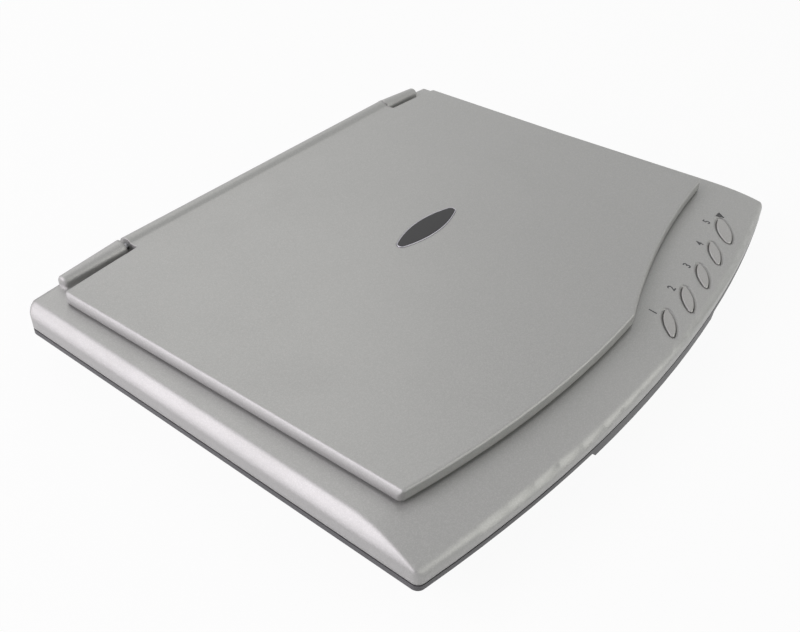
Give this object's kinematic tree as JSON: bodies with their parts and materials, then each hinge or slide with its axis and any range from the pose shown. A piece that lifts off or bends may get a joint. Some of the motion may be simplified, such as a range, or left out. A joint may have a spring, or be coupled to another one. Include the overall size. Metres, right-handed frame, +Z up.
{
  "type": "flatbed card scanner",
  "caption": "Slim flatbed scanner with a thin rear-hinged cover, a bowed front with slanted oval push buttons, a glass window and a rack-driven sensor head inside.",
  "frame": {"origin": "middle of the footprint, at the level the feet stand on", "axes": "+X along the long side, to the right seen from the buttons; +Y to the rear, where the hinge is; +Z up"},
  "size_m": [0.2722, 0.2136, 0.0326],
  "materials": {
    "silver_plastic": "fine metallic grain",
    "lid_silver": "fine metallic grain",
    "dark_plastic": "fine texture",
    "button_plastic": "satin",
    "badge_plastic": "satin",
    "black_plastic": "matt",
    "white_plastic": "matt",
    "foam": "open foam",
    "clear_glass": "polished",
    "clear_lens": "moulded",
    "steel": "ground",
    "spring_steel": "rolled",
    "bronze": "sintered",
    "gear_plastic": "moulded",
    "board": "solder mask",
    "soft_rubber": "matt",
    "adhesive": "film",
    "screw_steel": "zinc",
    "cable_film": "film"
  },
  "bodies": {
    "base": {"upper_housing": "silver_plastic", "lower_tray": "dark_plastic", "scan_glass": "clear_glass", "glass_tape": "adhesive", "calibration_strip": "white_plastic", "hinge_pin_left": "steel", "hinge_pin_right": "steel", "guide_rod": "steel", "rod_clip_left": "black_plastic", "rod_clip_right": "black_plastic", "clip_screws": "screw_steel", "drive_rack": "gear_plastic", "main_board": "board", "board_screws": "screw_steel", "control_chip": "black_plastic", "usb_port": "steel", "home_switch": "black_plastic", "ribbon_cable": "cable_film", "button_board": "board", "button_board_screws": "screw_steel", "tact_switches": "black_plastic", "indicator_led": "clear_lens", "indicator_lens": "clear_lens", "housing_screws": "screw_steel", "foot_front_left": "soft_rubber", "foot_front_right": "soft_rubber", "foot_rear_left": "soft_rubber", "foot_rear_right": "soft_rubber"},
    "cover": {"lid_shell": "lid_silver", "lid_liner": "white_plastic", "foam_pad": "foam", "pad_cover": "white_plastic", "lid_badge": "badge_plastic"},
    "scan_head": {"carriage_frame": "black_plastic", "rod_bushes": "bronze", "sensor_housing": "black_plastic", "sensor_window": "clear_glass", "sensor_spacers": "white_plastic", "rod_lens": "clear_lens", "light_guide": "clear_lens", "sensor_board": "board", "sensor_springs": "spring_steel", "drive_motor": "steel", "motor_screws": "screw_steel", "gear_axle": "steel"},
    "gear": {"cluster_gear": "gear_plastic"},
    "motor_rotor": {"motor_pinion": "bronze", "motor_shaft": "steel"},
    "button_1_cap": {"button_1": "button_plastic"},
    "button_2_cap": {"button_2": "button_plastic"},
    "button_3_cap": {"button_3": "button_plastic"},
    "button_4_cap": {"button_4": "button_plastic"},
    "button_5_cap": {"button_5": "button_plastic"}
  },
  "joints": [
    {"name": "lid_hinge", "type": "hinge", "parent": "base", "child": "cover", "pos_m": [0, 0.09985, 0.0285], "axis": [-1, 0, 0], "range_deg": [0, 95]},
    {"name": "head_slide", "type": "slide", "parent": "base", "child": "scan_head", "axis": [1, 0, 0], "range_m": [0, 0.21]},
    {"name": "gear_spin", "type": "hinge", "parent": "scan_head", "child": "gear", "pos_m": [-0.105, -0.0667, 0.0075], "axis": [0, 0, 1], "continuous": true},
    {"name": "motor_spin", "type": "hinge", "parent": "scan_head", "child": "motor_rotor", "pos_m": [-0.105, -0.0762, 0.0085], "axis": [0, 0, 1], "continuous": true},
    {"name": "button_1_press", "type": "slide", "parent": "base", "child": "button_1_cap", "axis": [0, 0, -1], "range_m": [0, 0.0005], "stiffness_N_per_m": 1500, "springref_m": -0.0004},
    {"name": "button_2_press", "type": "slide", "parent": "base", "child": "button_2_cap", "axis": [0, 0, -1], "range_m": [0, 0.0005], "stiffness_N_per_m": 1500, "springref_m": -0.0004},
    {"name": "button_3_press", "type": "slide", "parent": "base", "child": "button_3_cap", "axis": [0, 0, -1], "range_m": [0, 0.0005], "stiffness_N_per_m": 1500, "springref_m": -0.0004},
    {"name": "button_4_press", "type": "slide", "parent": "base", "child": "button_4_cap", "axis": [0, 0, -1], "range_m": [0, 0.0005], "stiffness_N_per_m": 1500, "springref_m": -0.0004},
    {"name": "button_5_press", "type": "slide", "parent": "base", "child": "button_5_cap", "axis": [0, 0, -1], "range_m": [0, 0.0005], "stiffness_N_per_m": 1500, "springref_m": -0.0004}
  ],
  "couplings": [
    {"joint": "gear_spin", "follows": "head_slide", "rad_per_m": 250},
    {"joint": "motor_spin", "follows": "head_slide", "rad_per_m": -700}
  ]
}
